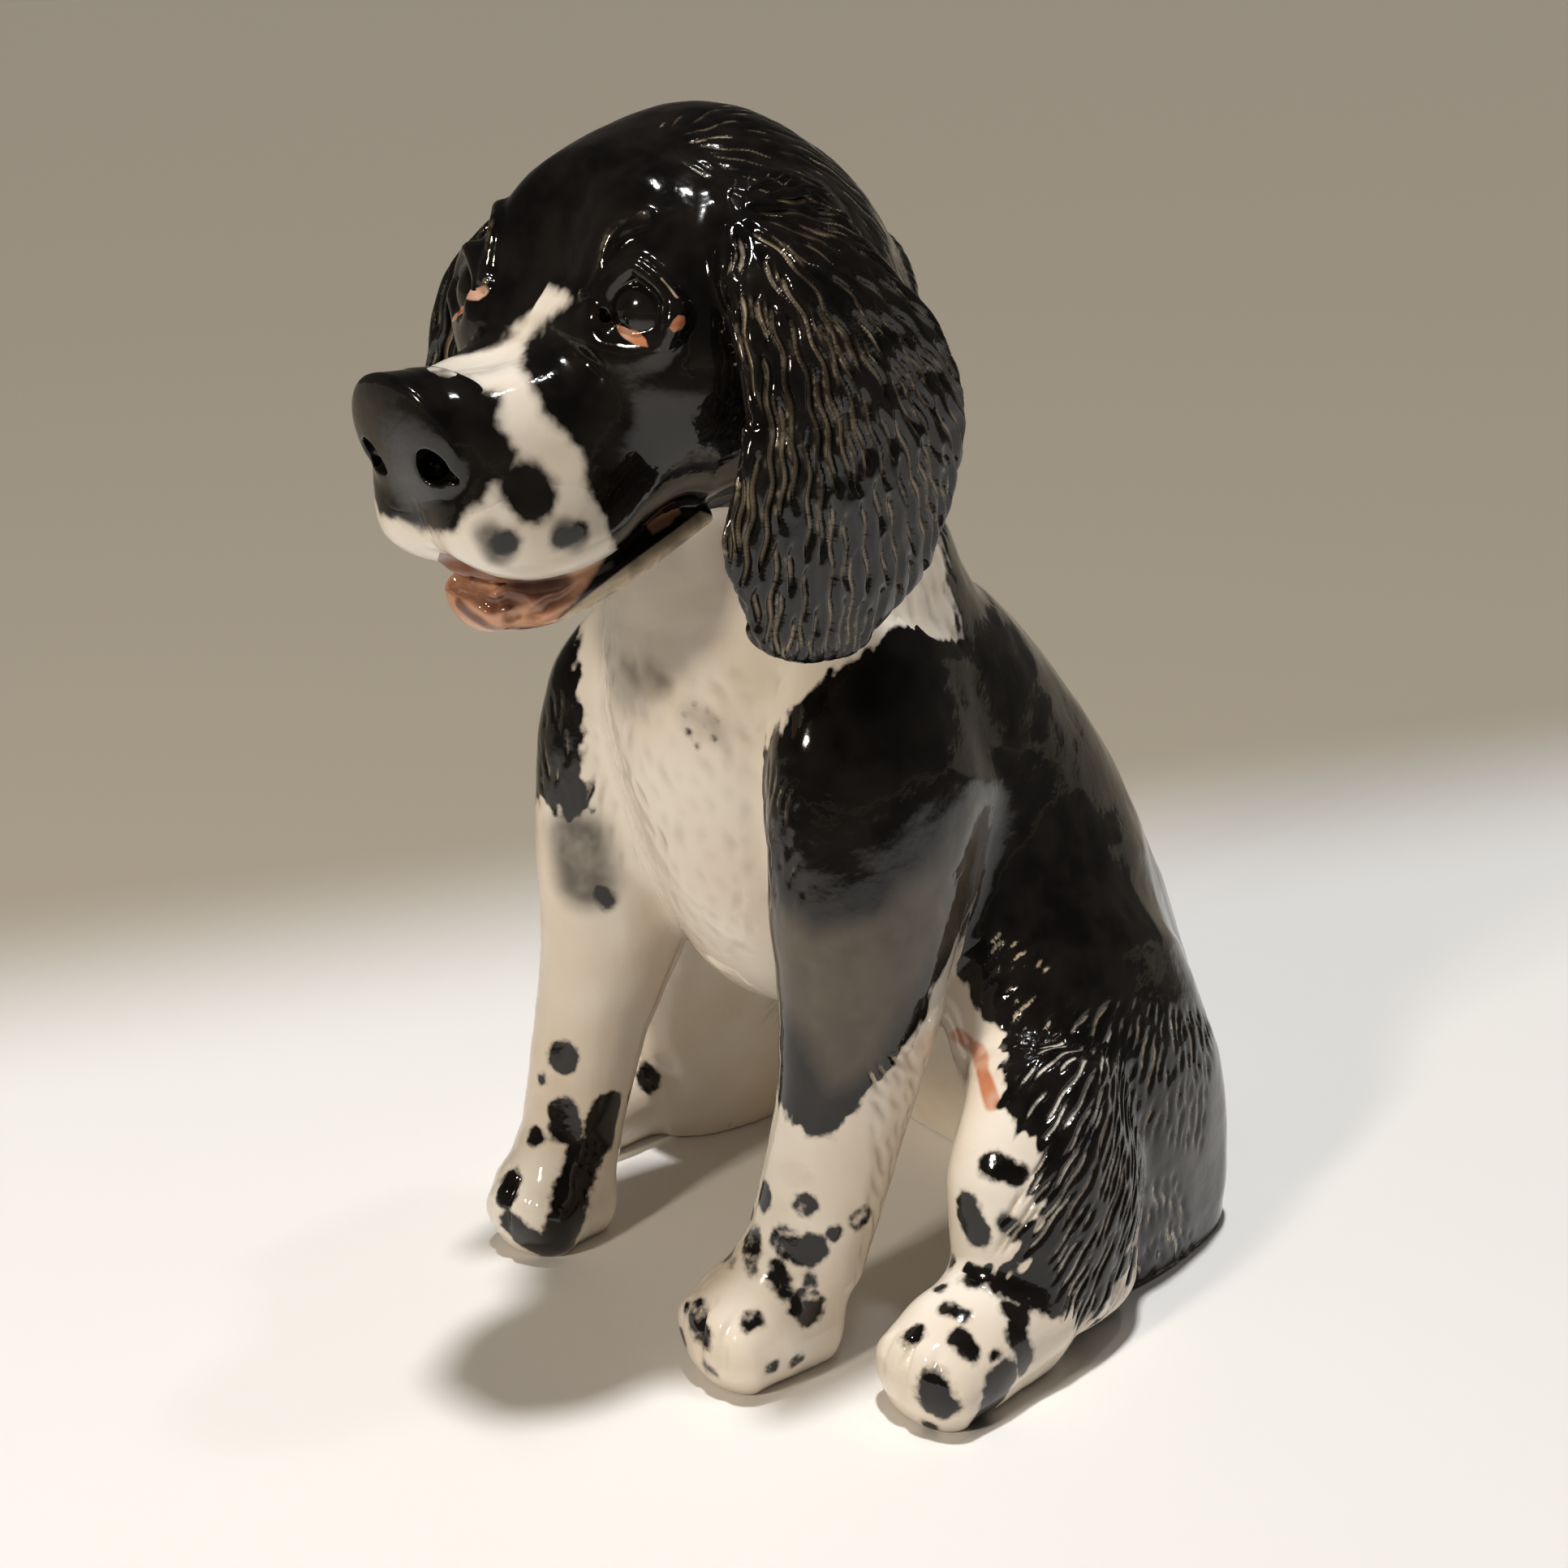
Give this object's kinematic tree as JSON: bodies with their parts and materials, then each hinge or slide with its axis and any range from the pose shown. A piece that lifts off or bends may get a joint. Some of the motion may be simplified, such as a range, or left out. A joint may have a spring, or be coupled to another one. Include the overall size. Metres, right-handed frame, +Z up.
{
  "type": "ceramic dog sculpture",
  "caption": "Hand-built ceramic ornament of a seated spaniel with hanging ears and open mouth, in glossy black and white glaze, resting on its flat seat and paws.",
  "frame": {"origin": "middle of the bounding box's footprint, on the table the dog sits on", "axes": "+Z up, the dog looks along -Y, its left side is +X"},
  "size_m": [0.1202, 0.158, 0.178],
  "materials": {
    "white_glaze": "glossy clear glaze over cream-white slip on fired earthenware",
    "black_glaze": "very glossy black glaze on fired earthenware",
    "pink_glaze": "glossy clear glaze over pink-brown stain on fired earthenware",
    "brown_glaze": "very glossy dark brown glaze on fired earthenware"
  },
  "bodies": {
    "root": {"torso": "white_glaze", "head": "black_glaze", "nose": "black_glaze", "left_flew": "white_glaze", "right_flew": "white_glaze", "lower_jaw": "pink_glaze", "tongue": "pink_glaze", "left_eyeball": "brown_glaze", "right_eyeball": "brown_glaze", "left_upper_eyelid": "black_glaze", "right_upper_eyelid": "black_glaze", "left_lower_eyelid": "pink_glaze", "right_lower_eyelid": "pink_glaze", "left_foreleg": "white_glaze", "left_ear": "black_glaze", "left_forepaw": "white_glaze", "left_haunch": "black_glaze", "left_shank": "black_glaze", "left_hindpaw": "white_glaze", "right_foreleg": "white_glaze", "right_ear": "black_glaze", "right_forepaw": "white_glaze", "right_haunch": "black_glaze", "right_shank": "black_glaze", "right_hindpaw": "white_glaze", "tail": "white_glaze"}
  },
  "joints": []
}
